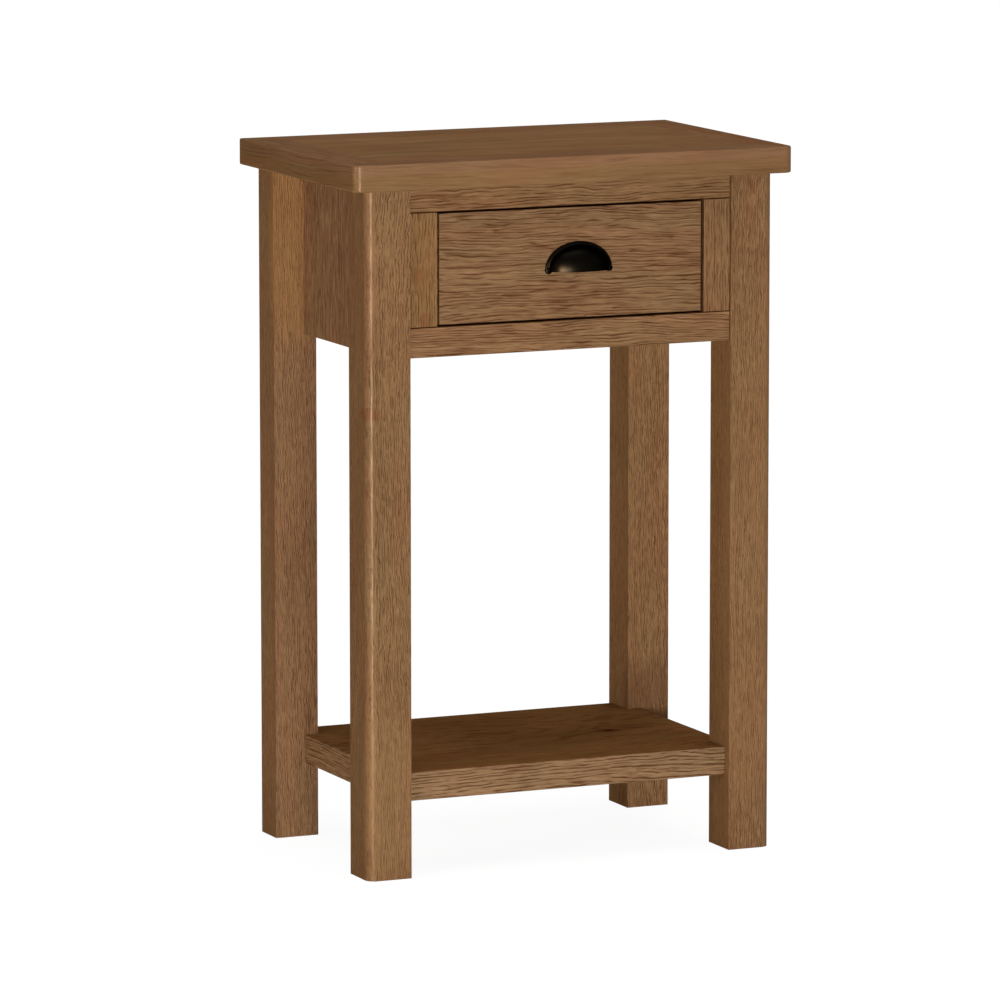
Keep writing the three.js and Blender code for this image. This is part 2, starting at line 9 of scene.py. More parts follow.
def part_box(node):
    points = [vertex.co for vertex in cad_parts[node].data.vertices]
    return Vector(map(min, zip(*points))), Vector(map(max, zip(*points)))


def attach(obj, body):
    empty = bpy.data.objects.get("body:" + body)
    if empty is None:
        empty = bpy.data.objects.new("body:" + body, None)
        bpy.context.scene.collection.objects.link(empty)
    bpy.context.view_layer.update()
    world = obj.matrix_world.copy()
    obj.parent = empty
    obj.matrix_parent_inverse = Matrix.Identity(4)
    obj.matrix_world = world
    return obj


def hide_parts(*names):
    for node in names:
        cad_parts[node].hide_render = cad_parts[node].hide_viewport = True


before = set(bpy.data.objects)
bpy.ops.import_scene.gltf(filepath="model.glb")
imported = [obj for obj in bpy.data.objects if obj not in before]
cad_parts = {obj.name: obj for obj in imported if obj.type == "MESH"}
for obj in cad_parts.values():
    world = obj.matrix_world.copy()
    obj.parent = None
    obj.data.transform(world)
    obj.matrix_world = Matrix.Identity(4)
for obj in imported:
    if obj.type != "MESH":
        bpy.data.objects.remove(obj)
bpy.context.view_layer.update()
mm = 0.001
print("frame loaded:", len(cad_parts), "solids")


# The studio: camera, lamps, floor and the white room

studio = {
    "cameraYaw": -23.927,        # degrees round the table, from straight in front towards its left
    "cameraPitch": 8.610,
    "cameraRoll": -0.019,
    "cameraDistance": 7.5454,
    "focalShare": 7.09146,       # focal length over the picture's side
    "aimSideways": -0.01637,     # from the table's middle, along the picture
    "aimHeight": 0.36771,
    "sensor": 36.0,
    "clipEnd": 200.0,
    "floorRadius": 14.0,
    "floorSides": 96,
    "floorBounce": 0.70,         # what the floor gives back to the table
    "floorShown": 0.12,          # how strongly the camera sees the floor's own shading
    "floorGlow": 0.93,           # the rest of the white that the camera sees
    "skyLevel": 0.15,
}

# level is the light on a surface that faces the lamp; azimuth 0 is straight in front, and right is plus
softBoxes = [
    {"name": "main_box", "azimuth": -17, "distance": 4.0, "height": 0.36, "across": 1.1, "tall": 0.55,
     "level": 0.60, "glossy": True},
    {"name": "side_strip", "azimuth": -66, "distance": 1.5, "height": 0.40, "across": 0.16, "tall": 0.86,
     "level": 0.26, "glossy": False},
]
# warm strips that only gloss shows: the line along the rounded corners and the spot on the pull
glossStrips = [
    {"name": "far_strip", "azimuth": -24, "distance": 2.3, "height": 0.36, "across": 1.00, "tall": 0.72,
     "brightness": 85.0, "colour": (1.0, 0.72, 0.52)},
    {"name": "near_strip", "azimuth": -32.5, "distance": 1.1, "height": 0.36, "across": 0.18, "tall": 0.72,
     "brightness": 170.0, "colour": (1.0, 0.72, 0.52)},
]
softSuns = [
    {"name": "overhead", "azimuth": 20, "elevation": 82, "spread": 50, "level": 0.50},
    {"name": "behind", "azimuth": 150, "elevation": 10, "spread": 40, "level": 0.40},
]


def directionTo(azimuth, elevation):
    turn, rise = math.radians(azimuth), math.radians(elevation)
    return Vector((math.sin(turn) * math.cos(rise), -math.cos(turn) * math.cos(rise), math.sin(rise)))


def addToScene(name, data):
    made = bpy.data.objects.new(name, data)
    bpy.context.scene.collection.objects.link(made)
    return made


def buildCamera():
    back = directionTo(studio["cameraYaw"], studio["cameraPitch"])
    right = (-back).cross(Vector((0, 0, 1))).normalized()
    low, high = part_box("top_panel")
    aim = right * studio["aimSideways"] + Vector((0, (low.y + high.y) / 2, studio["aimHeight"]))
    lens = bpy.data.cameras.new("camera")
    lens.sensor_width = studio["sensor"]
    lens.lens = studio["sensor"] * studio["focalShare"]
    lens.clip_end = studio["clipEnd"]
    camera = addToScene("camera", lens)
    camera.location = aim + back * studio["cameraDistance"]
    roll = Matrix.Rotation(math.radians(studio["cameraRoll"]), 4, "Z")
    camera.rotation_euler = ((-back).to_track_quat("-Z", "Y").to_matrix().to_4x4() @ roll).to_euler()
    bpy.context.scene.camera = camera


def addPanelLamp(entry, energy):
    light = bpy.data.lights.new(entry["name"], "AREA")
    light.shape = "RECTANGLE"
    light.size = entry["across"]
    light.size_y = entry["tall"]
    light.energy = energy
    lamp = addToScene(entry["name"], light)
    away = directionTo(entry["azimuth"], 0)
    lamp.location = away * entry["distance"] + Vector((0, 0, entry["height"]))
    lamp.rotation_euler = away.to_track_quat("Z", "Y").to_euler()
    lamp.visible_camera = False
    return lamp


def buildLamps():
    for entry in softBoxes:
        lamp = addPanelLamp(entry, entry["level"] * (math.pi * entry["distance"]) ** 2)
        lamp.visible_glossy = entry["glossy"]
    for entry in glossStrips:
        lamp = addPanelLamp(entry, entry["brightness"] * math.pi * entry["across"] * entry["tall"])
        lamp.data.color = entry["colour"]
        lamp.visible_diffuse = False
    for entry in softSuns:
        light = bpy.data.lights.new(entry["name"], "SUN")
        light.angle = math.radians(entry["spread"])
        light.energy = math.pi * entry["level"]
        lamp = addToScene(entry["name"], light)
        away = directionTo(entry["azimuth"], entry["elevation"])
        lamp.rotation_euler = away.to_track_quat("Z", "Y").to_euler()
        lamp.visible_camera = False


# Short names for shader nodes

def feed(tree, socket, value):
    if isinstance(value, bpy.types.NodeSocket):
        tree.links.new(value, socket)
    elif value is not None:
        socket.default_value = value


def addNode(tree, kind, inputs=(), output=0, **settings):
    node = tree.nodes.new("ShaderNode" + kind)
    for name, value in settings.items():
        setattr(node, name, value)
    for place, value in enumerate(inputs):
        feed(tree, node.inputs[place], value)
    return node.outputs[output]


def work(tree, operation, a, b=None):
    return addNode(tree, "Math", (a, b), operation=operation)


def add(tree, a, b):
    return work(tree, "ADD", a, b)


def times(tree, a, b):
    return work(tree, "MULTIPLY", a, b)


def stretch(tree, vector, along, across):
    return addNode(tree, "VectorMath", (vector, (along, across, across)), operation="MULTIPLY")


def noise(tree, vector, detail=2.0, rough=0.5, colour=False):
    node = tree.nodes.new("ShaderNodeTexNoise")
    feed(tree, node.inputs["Vector"], vector)
    node.inputs["Scale"].default_value = 1.0
    node.inputs["Detail"].default_value = detail
    node.inputs["Roughness"].default_value = rough
    return node.outputs[1 if colour else 0]


def smooth(tree, value, low, high, start=0.0, end=1.0):
    return addNode(tree, "MapRange", (value, low, high, start, end), interpolation_type="SMOOTHSTEP")


def mixColour(tree, factor, a, b, blend="MIX"):
    node = tree.nodes.new("ShaderNodeMix")
    node.data_type = "RGBA"
    node.blend_type = blend
    feed(tree, node.inputs[0], factor)
    feed(tree, node.inputs[6], a)
    feed(tree, node.inputs[7], b)
    return node.outputs[2]


def newMaterial(name):
    made = bpy.data.materials.new(name)
    made.use_nodes = True
    made.node_tree.nodes.clear()
    return made, made.node_tree


def objectPoint(tree):
    return addNode(tree, "TexCoord", output=3)


def bumped(tree, height, distance):
    bump = tree.nodes.new("ShaderNodeBump")
    bump.inputs["Distance"].default_value = distance
    feed(tree, bump.inputs["Height"], height)
    return bump.outputs[0]


def show(tree, surface):
    out = tree.nodes.new("ShaderNodeOutputMaterial")
    feed(tree, out.inputs["Surface"], surface)


def cover(tree, colour, rough, height, relief):
    # a solid surface with its relief; its other inputs are given back
    skin = tree.nodes.new("ShaderNodeBsdfPrincipled")
    feed(tree, skin.inputs["Base Color"], colour)
    feed(tree, skin.inputs["Roughness"], rough)
    feed(tree, skin.inputs["Normal"], bumped(tree, height, relief))
    show(tree, skin.outputs[0])
    return skin.inputs


def linear(red, green, blue):
    # a colour given as a painter's 0 to 255 values
    def one(value):
        value = value / 255
        return value / 12.92 if value <= 0.04045 else ((value + 0.055) / 1.055) ** 2.4
    return (one(red), one(green), one(blue), 1.0)


# The grain. Lengths are metres, a board's own X runs along its grain, and its pith is the line y = z = 0.

# Pitch is the rings' spacing and Wave the ripple's reach. Sway and Reach crowd the ripple and the lines along
# the grain, Close crowds both across it, and the rest are strengths.
grainDials = ("Pitch", "Wave", "Sway", "Reach", "Close", "Comb", "Vein", "Line", "Fine", "Streak", "Pore",
              "Fleck")
grainColours = ("Pale", "Dark")
# each pattern's cycles a metre along the grain and across it, its detail and its roughness
patterns = {
    "drift": (3.8, 8, 2, 0.5),
    "ripple": (22, 60, 2, 0.55),
    "crinkle": (80, 200, 1, 0.5),
    "dash": (24, 330, 2, 0.5),
    "course": (15, 150, 1.5, 0.5),
    "fading": (26, 95, 1, 0.5),
    "pores": (110, 1900, 1, 0.5),
    "streaks": (2.6, 52, 3, 0.6),
    "cloud": (8, 22, 2, 0.5),
    "hue": (7, 38, 1, 0.5),
}
# the value at which a part of the grain starts, and the one at which it is full
patternEdges = {
    "lines": (0.92, 1.12),
    "ridge": (0.72, 0.84),
    "ridgeEnd": (0.96, 0.84),
    "combCrest": (-0.1, 0.95),
    "combDash": (0.32, 0.58),
    "furrow": (0.06, 0.0),
    "furrowEnd": (0.36, 0.62),
    "pores": (0.58, 0.70),
    "flecks": (0.60, 0.70),
    "hue": (0.35, 0.65),
}
# the drift's reach in metres, and the crinkle's as a share of the ripple's
waviness = {"drift": 0.034, "crinkle": 0.16}
# how unevenly the rings lie, and what the crest of a ring, its dashes and chance add to a dark line
ringForm = {"unevenEvery": 0.37, "uneven": 1.6, "crest": 0.42, "dash": 1.1, "chance": 0.16}
# cycles a metre: the threads' along the board and across both its faces, and the rays' outwards from the pith
threads = {"scale": (44, 350, 660), "detail": 1.5, "rough": 0.6}
rays = {"along": 55.0, "outwards": 70.0, "round": 95.0}
poreForm = {"inLines": 0.8, "elsewhere": 0.3}
# ridge is how far the ridges are lightened, a painted highlight
levels = {"middle": 0.56, "cloud": 0.25, "ridge": 0.4, "betweenVeins": 0.15, "betweenCombs": 0.25,
          "lowest": 0.16, "highest": 1.15}
hues = {"redder": (1.025, 0.985, 0.97, 1), "yellower": (0.98, 1.01, 0.99, 1)}
heights = {"lines": -1.0, "pores": -0.6, "furrow": -0.5, "comb": -0.4, "fine": 0.35, "ridge": 0.35}


def shiftBy(tree, field, amount):
    centred = addNode(tree, "VectorMath", (field, (0.5, 0.5, 0.5)), operation="SUBTRACT")
    node = tree.nodes.new("ShaderNodeVectorMath")
    node.operation = "SCALE"
    feed(tree, node.inputs[0], centred)
    feed(tree, node.inputs["Scale"], amount)
    return node.outputs[0]


def pattern(tree, vector, name, colour=False):
    along, across, detail, rough = patterns[name]
    return noise(tree, stretch(tree, vector, along, across), detail, rough, colour)


def edged(tree, value, name):
    return smooth(tree, value, *patternEdges[name])


def sumOf(tree, start, parts):
    for part, share in parts:
        start = add(tree, start, times(tree, part, share))
    return start


def emptyGrain():
    tree = bpy.data.node_groups.new("brushed_oak_grain", "ShaderNodeTree")
    tree.interface.new_socket("Board", in_out="INPUT", socket_type="NodeSocketVector")
    for name in grainDials:
        tree.interface.new_socket(name, in_out="INPUT", socket_type="NodeSocketFloat")
    for name in grainColours:
        tree.interface.new_socket(name, in_out="INPUT", socket_type="NodeSocketColor")
    tree.interface.new_socket("Colour", in_out="OUTPUT", socket_type="NodeSocketColor")
    tree.interface.new_socket("Height", in_out="OUTPUT", socket_type="NodeSocketFloat")
    return tree


def buildGrain():
    tree = emptyGrain()
    given = tree.nodes.new("NodeGroupInput").outputs
    board = given["Board"]
    reach = addNode(tree, "CombineXYZ", (given["Reach"], given["Close"], given["Close"]))
    sway = addNode(tree, "CombineXYZ", (given["Sway"], given["Close"], given["Close"]))
    busy = addNode(tree, "VectorMath", (board, sway), operation="MULTIPLY")

    # three sizes of waviness carry the lines out of true
    drift = shiftBy(tree, pattern(tree, board, "drift", colour=True), waviness["drift"])
    ripple = shiftBy(tree, pattern(tree, busy, "ripple", colour=True), given["Wave"])
    crinkle = shiftBy(tree, pattern(tree, busy, "crinkle", colour=True),
                      times(tree, given["Wave"], waviness["crinkle"]))
    flow = addNode(tree, "VectorMath", (board, ripple), operation="ADD")
    flow = addNode(tree, "VectorMath", (flow, crinkle), operation="ADD")
    moved = addNode(tree, "VectorMath", (flow, drift), operation="ADD")
    busyFlow = addNode(tree, "VectorMath", (flow, reach), operation="MULTIPLY")
    split = tree.nodes.new("ShaderNodeSeparateXYZ")
    feed(tree, split.inputs[0], moved)
    along, across, depth = split.outputs
    radius = work(tree, "SQRT", add(tree, times(tree, across, across), times(tree, depth, depth)))

    # growth rings, some of them strong, each broken into dashes with thin ends
    rings = work(tree, "DIVIDE", radius, given["Pitch"])
    ringPlace = addNode(tree, "CombineXYZ", (times(tree, rings, ringForm["unevenEvery"]), 0.0, 0.0))
    rings = add(tree, rings, times(tree, noise(tree, ringPlace, 1), ringForm["uneven"]))
    crest = work(tree, "COSINE", times(tree, rings, 2 * math.pi))
    ringId = addNode(tree, "CombineXYZ", (work(tree, "ROUND", rings), 0.0, 0.0))
    chance = addNode(tree, "TexWhiteNoise", (ringId,), noise_dimensions="3D")
    dash = pattern(tree, busyFlow, "dash")
    field = sumOf(tree, times(tree, crest, ringForm["crest"]),
                  [(dash, ringForm["dash"]), (chance, ringForm["chance"])])
    lines = edged(tree, field, "lines")
    # a band just past each line: raised in the relief, and lightened in the colour as a painted highlight
    ridge = times(tree, edged(tree, field, "ridge"), edged(tree, field, "ridgeEnd"))
    comb = times(tree, edged(tree, crest, "combCrest"), edged(tree, dash, "combDash"))

    # brushing leaves thin dark furrows that fork and fade
    course = pattern(tree, busyFlow, "course")
    furrow = edged(tree, work(tree, "ABSOLUTE", add(tree, course, -0.5)), "furrow")
    furrow = times(tree, furrow, edged(tree, pattern(tree, busyFlow, "fading"), "furrowEnd"))

    # the brushed surface: close light and dark threads, softer on the faces that are cut along the rings
    threadPlace = addNode(tree, "VectorMath", (busyFlow, threads["scale"]), operation="MULTIPLY")
    fine = noise(tree, threadPlace, threads["detail"], threads["rough"])
    pores = edged(tree, pattern(tree, busyFlow, "pores"), "pores")
    pores = times(tree, pores, add(tree, times(tree, lines, poreForm["inLines"]), poreForm["elsewhere"]))

    # rays are thin radial sheets, broad where a face is cut along them
    turn = work(tree, "ARCTAN2", depth, across)
    sheet = addNode(tree, "CombineXYZ", (times(tree, along, rays["along"]),
                                         times(tree, radius, rays["outwards"]),
                                         times(tree, turn, rays["round"])))
    flecks = edged(tree, noise(tree, sheet, 1), "flecks")

    streaks = pattern(tree, moved, "streaks")
    cloud = pattern(tree, board, "cloud")
    hue = pattern(tree, moved, "hue")

    # one level from the dark of the pores to the painted highlight on the ridges
    level = add(tree, times(tree, add(tree, fine, -0.5), given["Fine"]), levels["middle"])
    level = sumOf(tree, level, [
        (add(tree, streaks, -0.5), given["Streak"]),
        (add(tree, cloud, -0.5), levels["cloud"]),
        (add(tree, times(tree, ridge, levels["ridge"]), times(tree, lines, -1.0)), given["Line"]),
        (pores, times(tree, given["Pore"], -1.0)),
        (add(tree, times(tree, furrow, -1.0), levels["betweenVeins"]), given["Vein"]),
        (add(tree, times(tree, comb, -1.0), levels["betweenCombs"]), given["Comb"]),
        (flecks, given["Fleck"]),
    ])
    level = work(tree, "MINIMUM", work(tree, "MAXIMUM", level, levels["lowest"]), levels["highest"])
    base = mixColour(tree, level, given["Dark"], given["Pale"])
    tint = mixColour(tree, edged(tree, hue, "hue"), hues["redder"], hues["yellower"])
    base = mixColour(tree, 1.0, base, tint, blend="MULTIPLY")

    height = sumOf(tree, times(tree, lines, heights["lines"]), [
        (pores, heights["pores"]),
        (furrow, heights["furrow"]),
        (comb, heights["comb"]),
        (fine, heights["fine"]),
        (ridge, heights["ridge"]),
    ])
    out = tree.nodes.new("NodeGroupOutput")
    feed(tree, out.inputs["Colour"], base)
    feed(tree, out.inputs["Height"], height)
    return tree


grainGroup = buildGrain()


# Oak finishes. A kind says how a board is sawn, and pith is where its pith lies from its own middle.

oakColours = {"Pale": (0.330, 0.191, 0.096, 1.0), "Dark": (0.068, 0.015, 0.002, 1.0)}
plainColours = {"Pale": linear(200, 169, 130), "Dark": linear(128, 92, 57)}
woodKinds = {
    "drawerFront": {"Pitch": 0.0032, "Wave": 0.0062, "Sway": 1.00, "Reach": 0.85, "Close": 1.00, "Comb": 0.20,
                    "Vein": 0.34, "Line": 0.18, "Fine": 0.80, "Streak": 0.26, "Pore": 0.12,
                    "Fleck": 0.06, "pith": (0.0, 0.05, -0.24)},
    "rail": {"Pitch": 0.0030, "Wave": 0.0055, "Sway": 1.10, "Reach": 0.80, "Close": 1.00, "Comb": 0.20,
             "Vein": 0.24, "Line": 0.16, "Fine": 0.80, "Streak": 0.14, "Pore": 0.12,
             "Fleck": 0.06, "pith": (0.0, 0.04, -0.19)},
    "stile": {"Pitch": 0.0028, "Wave": 0.0030, "Sway": 3.20, "Reach": 1.90, "Close": 1.40, "Comb": 0.20,
              "Vein": 0.18, "Line": 0.12, "Fine": 0.70, "Streak": 0.26, "Pore": 0.10,
              "Fleck": 0.06, "pith": (0.14, 0.05, 0.0)},
    "leg": {"Pitch": 0.0017, "Wave": 0.0036, "Sway": 3.80, "Reach": 2.20, "Close": 1.50, "Comb": 0.18,
            "Vein": 0.15, "Line": 0.12, "Fine": 0.85, "Streak": 0.22, "Pore": 0.10,
            "Fleck": 0.06, "pith": (0.13, 0.11, 0.0)},
    "panel": {"Pitch": 0.0022, "Wave": 0.0028, "Sway": 2.00, "Reach": 1.30, "Close": 1.30, "Comb": 0.38,
              "Vein": 0.20, "Line": 0.14, "Fine": 1.00, "Streak": 0.40, "Pore": 0.10,
              "Fleck": 0.04, "pith": (0.02, 0.22, 0.0)},
    "shelf": {"Pitch": 0.0029, "Wave": 0.0030, "Sway": 1.50, "Reach": 1.20, "Close": 1.30, "Comb": 0.30,
              "Vein": 0.20, "Line": 0.20, "Fine": 0.75, "Streak": 0.16, "Pore": 0.12,
              "Fleck": 0.06, "pith": (0.0, 0.03, -0.22)},
    "top": {"Pitch": 0.0060, "Wave": 0.0050, "Sway": 0.50, "Reach": 0.50, "Close": 0.80, "Comb": 0.00,
            "Vein": 0.03, "Line": 0.03, "Fine": 0.35, "Streak": 0.40, "Pore": 0.06,
            "Fleck": 0.03, "pith": (0.0, 0.1, -0.12)},
    "plain": {"Pitch": 0.0040, "Wave": 0.0040, "Sway": 0.70, "Reach": 0.70, "Close": 1.00, "Comb": 0.00,
              "Vein": 0.10, "Line": 0.20, "Fine": 0.45, "Streak": 0.50, "Pore": 0.10,
              "Fleck": 0.04, "pith": (0.05, 0.06, -0.13)},
}
# calm is how much of a board's own contrast a finish leaves
woodFinishes = {
    "face": {"rough": 0.62, "relief": 0.35 * mm, "tone": (1.0, 1.0, 1.0), "calm": 1.0},
    # the flank's darker tone is painted shade on the sideways faces of legs and top
    "shadedFlank": {"rough": 0.62, "relief": 0.30 * mm, "tone": (0.82, 0.77, 0.70), "calm": 0.55},
    "round": {"rough": 0.62, "relief": 0.16 * mm, "tone": (1.0, 1.0, 1.0), "calm": 0.7},
    # the shelf's upper face takes a darker tone as painted shade under the top and the drawer
    "upper": {"rough": 0.62, "relief": 0.30 * mm, "tone": (0.79, 0.62, 0.41), "calm": 0.5},
    "lipped": {"rough": 0.62, "relief": 0.35 * mm, "tone": (0.98, 0.90, 0.80), "calm": 1.0},
    "end": {"rough": 0.80, "relief": 0.30 * mm, "tone": (0.80, 0.77, 0.72), "calm": 1.0},
    # painted shade: a dark tone on the eased arrises that meet in the grooves between boards
    "groove": {"rough": 0.85, "relief": 0.20 * mm, "tone": (0.25, 0.20, 0.17), "calm": 1.0},
    # painted shade on the faces inside the drawer's gaps; the side ones are a touch lighter
    "gapShade": {"rough": 0.90, "relief": 0.20 * mm, "tone": (0.42, 0.35, 0.30), "calm": 1.0},
    "sideGapShade": {"rough": 0.85, "relief": 0.20 * mm, "tone": (0.50, 0.42, 0.36), "calm": 1.0},
}
calmed = ("Comb", "Vein", "Line", "Fine", "Pore", "Fleck")
# the coat of lacquer that gloss shows on the roundings only, uneven like the brushed wood under it
satin = {"coat": 0.070, "rough": 0.34, "wave": (36, 50), "waveHeight": 2.6 * mm, "from": (0.915, 0.95),
         "shine": 0.6}
topEdge = {"split": 739.5 * mm, "blur": 0.8 * mm, "above": (1.02, 0.99, 1.04, 1),
           "below": (0.99, 1.0, 0.93, 1)}
# how far round a corner, as the normal's sideways share, the flank's painted shade starts and is full
flankTurn = {"leg": (0.55, 0.85), "top": (0.76, 0.97)}
turnFor = {"x": (0, 0, 0), "y": (0, 0, 90), "z": (0, -90, 0)}
# how far each board is cut out of true, in degrees, and how far its grain is shifted, in metres
draw = {"turn": 1.6, "along": 0.5, "across": 0.01}
markForm = {"ragged": 160, "raggedShare": 1.2, "evenShare": 0.4, "edge": (0.05, 0.6)}
noTint = (1, 1, 1)


def product(first, second):
    return [a * b for a, b in zip(first, second)]


def markOn(tree, colour, mark):
    # a soft ragged patch, such as a knot, a stain, a paler stretch or painted shade, centred on a point of
    # the board
    place = tree.nodes.new("ShaderNodeMapping")
    place.vector_type = "TEXTURE"
    place.inputs["Location"].default_value = mark["at"]
    place.inputs["Scale"].default_value = mark["size"]
    where = objectPoint(tree)
    feed(tree, place.inputs["Vector"], where)
    spot = addNode(tree, "TexGradient", (place.outputs[0],), output=1, gradient_type="SPHERICAL")
    ragged = noise(tree, stretch(tree, where, markForm["ragged"], markForm["ragged"]), 2, 0.6)
    spot = times(tree, spot, add(tree, times(tree, ragged, markForm["raggedShare"]), markForm["evenShare"]))
    share = smooth(tree, spot, *markForm["edge"], 0.0, mark["strength"])
    return mixColour(tree, share, colour, mark["colour"])


def ownSpace(tree, board, along, middle):
    # the board's own directions, with its pith in place and its own draw of turn and shift
    dice = random.Random(board["node"])
    turn = [angle + dice.uniform(-draw["turn"], draw["turn"]) for angle in turnFor[along]]
    most = [draw["along"] if axis == board["along"] else draw["across"] for axis in "xyz"]
    shift = [dice.uniform(-far, far) for far in most]
    place = tree.nodes.new("ShaderNodeMapping")
    place.vector_type = "TEXTURE"
    pith = Vector(woodKinds[board["kind"]]["pith"])
    place.inputs["Location"].default_value = middle + pith + Vector(shift)
    place.inputs["Rotation"].default_value = Euler([math.radians(angle) for angle in turn])
    feed(tree, place.inputs["Vector"], objectPoint(tree))
    return place.outputs[0]


def grainOn(tree, board, finishName, place):
    finish = woodFinishes[finishName]
    values = woodKinds[board["kind"]]
    colours = plainColours if board["kind"] == "plain" else oakColours
    grain = tree.nodes.new("ShaderNodeGroup")
    grain.node_tree = grainGroup
    feed(tree, grain.inputs["Board"], place)
    for dial in grainDials:
        grain.inputs[dial].default_value = values[dial] * (finish["calm"] if dial in calmed else 1.0)
    tone = product(finish["tone"], board.get("tone", noTint))
    # the flank's tone, with a board's own share of it, is painted shade
    if finishName == "shadedFlank":
        tone = product(tone, board.get("shadedFlank", noTint))
    for name in grainColours:
        grain.inputs[name].default_value = product(colours[name], tone) + [1.0]
    return grain.outputs["Colour"], grain.outputs["Height"]


def topTone(tree, colour):
    # the top's edges are a touch yellower than its upper face, with a soft border just under it
    level = addNode(tree, "SeparateXYZ", (objectPoint(tree),), output=2)
    upper = smooth(tree, level, topEdge["split"] - topEdge["blur"], topEdge["split"] + topEdge["blur"])
    return mixColour(tree, 1.0, colour, mixColour(tree, upper, topEdge["below"], topEdge["above"]),
                     blend="MULTIPLY")


def cornerTone(tree, board, colour, facing):
    # round the corner, the tone of the front turns into the flank's painted shade
    sideways = addNode(tree, "SeparateXYZ", (facing,), output=0)
    shadedFlank = product(woodFinishes["shadedFlank"]["tone"], board.get("shadedFlank", noTint)) + [1.0]
    turned = mixColour(tree, smooth(tree, sideways, *flankTurn[board["kind"]]), (1, 1, 1, 1), shadedFlank)
    return mixColour(tree, 1.0, colour, turned, blend="MULTIPLY")


def cornerLacquer(tree, board, skin, place, facing):
    diagonal = (math.sqrt(0.5), math.sqrt(0.5), 0)
    outwards = addNode(tree, "VectorMath", (facing, diagonal), output=1, operation="DOT_PRODUCT")
    wave = noise(tree, stretch(tree, place, *satin["wave"]), 2)
    coat = satin["coat"] * board.get("shine", satin["shine"])
    feed(tree, skin["Coat Normal"], bumped(tree, wave, satin["waveHeight"] * board.get("ripple", 1.0)))
    feed(tree, skin["Coat Weight"], times(tree, smooth(tree, outwards, *satin["from"]), coat))
    skin["Coat Roughness"].default_value = satin["rough"]


def oakMaterial(board, finishName, middle):
    made, tree = newMaterial(board["node"] + "_" + finishName)
    finish = woodFinishes[finishName]
    place = ownSpace(tree, board, "y" if finishName == "lipped" else board["along"], middle)
    colour, height = grainOn(tree, board, finishName, place)
    for mark in board.get("marks", ()):
        colour = markOn(tree, colour, mark)
    if board["kind"] == "top":
        colour = topTone(tree, colour)
    if finishName == "round":
        facing = addNode(tree, "VectorMath", (addNode(tree, "TexCoord", output=1),), operation="ABSOLUTE")
        colour = cornerTone(tree, board, colour, facing)
    skin = cover(tree, colour, finish["rough"], height, finish["relief"])
    skin["Specular IOR Level"].default_value = 0.0
    if finishName == "round":
        cornerLacquer(tree, board, skin, place, facing)
    return made


# Boards: a merged copy of each solid, with eased arrises, its own draw of grain and painted shade on the
# faces in the gaps and grooves between boards

# shares of a face's normal: straight is the cosine of 3 degrees
facingLimits = {"straight": 0.9986, "endGrain": 0.8, "upright": 0.05}
flush = 0.05 * mm
easing = {"sharpFrom": math.radians(40), "smoothUnder": math.radians(50), "steps": 2, "weld": 0.002 * mm}
finishNames = list(woodFinishes)


def axisOf(normal):
    # which axis a face looks along, such as "-z", or nothing for a slanted or rounded one
    for index, letter in enumerate("xyz"):
        if abs(normal[index]) > facingLimits["straight"]:
            return ("+" if normal[index] > 0 else "-") + letter
    return ""


def onOutside(face, low, high):
    side = axisOf(face.normal)
    if not side:
        return True
    index = "xyz".index(side[1])
    limit = high[index] if side[0] == "+" else low[index]
    return abs(face.calc_center_median()[index] - limit) < flush


def finishOf(face, board):
    side = axisOf(face.normal)
    grainIndex = "xyz".index(board["along"])
    if abs(face.normal[grainIndex]) > facingLimits["endGrain"]:
        return "lipped" if board["kind"] == "shelf" else "end"
    # faces that look into the drawer's gaps take painted shade
    if side and side in board.get("gapSides", ()):
        return "sideGapShade" if side[1] == "x" else "gapShade"
    # the shelf's upper face takes painted shade
    if side == "+z" and board["kind"] == "shelf":
        return "upper"
    if not side and abs(face.normal.z) < facingLimits["upright"] and board["kind"] in ("leg", "top"):
        return "round"
    # the sideways faces of legs and top take the flank's painted shade
    if side and side[1] == "x" and board["kind"] in ("leg", "top"):
        return "shadedFlank"
    return "face"


def easeArrises(shell, board, low, high):
    sharp = []
    for edge in shell.edges:
        if edge.is_manifold and edge.is_convex and edge.calc_face_angle(0) > easing["sharpFrom"]:
            outside = sum(onOutside(face, low, high) for face in edge.link_faces)
            if outside >= board.get("outside", 1):
                sharp.append(edge)
    made = bmesh.ops.bevel(shell, geom=sharp, offset=board["arris"], offset_type="OFFSET",
                           segments=easing["steps"], profile=0.5, affect="EDGES", clamp_overlap=True,
                           material=-1)
    for face in made["faces"]:
        face.smooth = True
        # on grooved boards the eased arrises above plainBelow take painted shade for the grooves between
        # boards
        dark = board.get("grooved") and face.calc_center_median().z > board.get("plainBelow", 0)
        face.material_index = finishNames.index("groove" if dark else "face")


def dressBoard(board):
    node = board["node"]
    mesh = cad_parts[node].data.copy()
    mesh.materials.clear()
    piece = addToScene(node + "_wood", mesh)
    low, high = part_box(node)
    shell = bmesh.new()
    shell.from_mesh(mesh)
    bmesh.ops.remove_doubles(shell, verts=shell.verts, dist=easing["weld"])
    for face in shell.faces:
        face.smooth = True
        face.material_index = finishNames.index(finishOf(face, board))
    if board["arris"]:
        easeArrises(shell, board, low, high)
    for edge in shell.edges:
        edge.smooth = edge.is_manifold and edge.calc_face_angle(0) < easing["smoothUnder"]
    used = sorted({face.material_index for face in shell.faces})
    for face in shell.faces:
        face.material_index = used.index(face.material_index)
    shell.to_mesh(mesh)
    shell.free()
    for index in used:
        mesh.materials.append(oakMaterial(board, finishNames[index], (low + high) / 2))
    even = piece.modifiers.new("even_shading", "WEIGHTED_NORMAL")
    even.keep_sharp = True
    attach(piece, board.get("body", "carcass"))
    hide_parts(node)


def markAt(at, size, colour, strength):
    return {"at": at, "size": size, "colour": colour, "strength": strength}


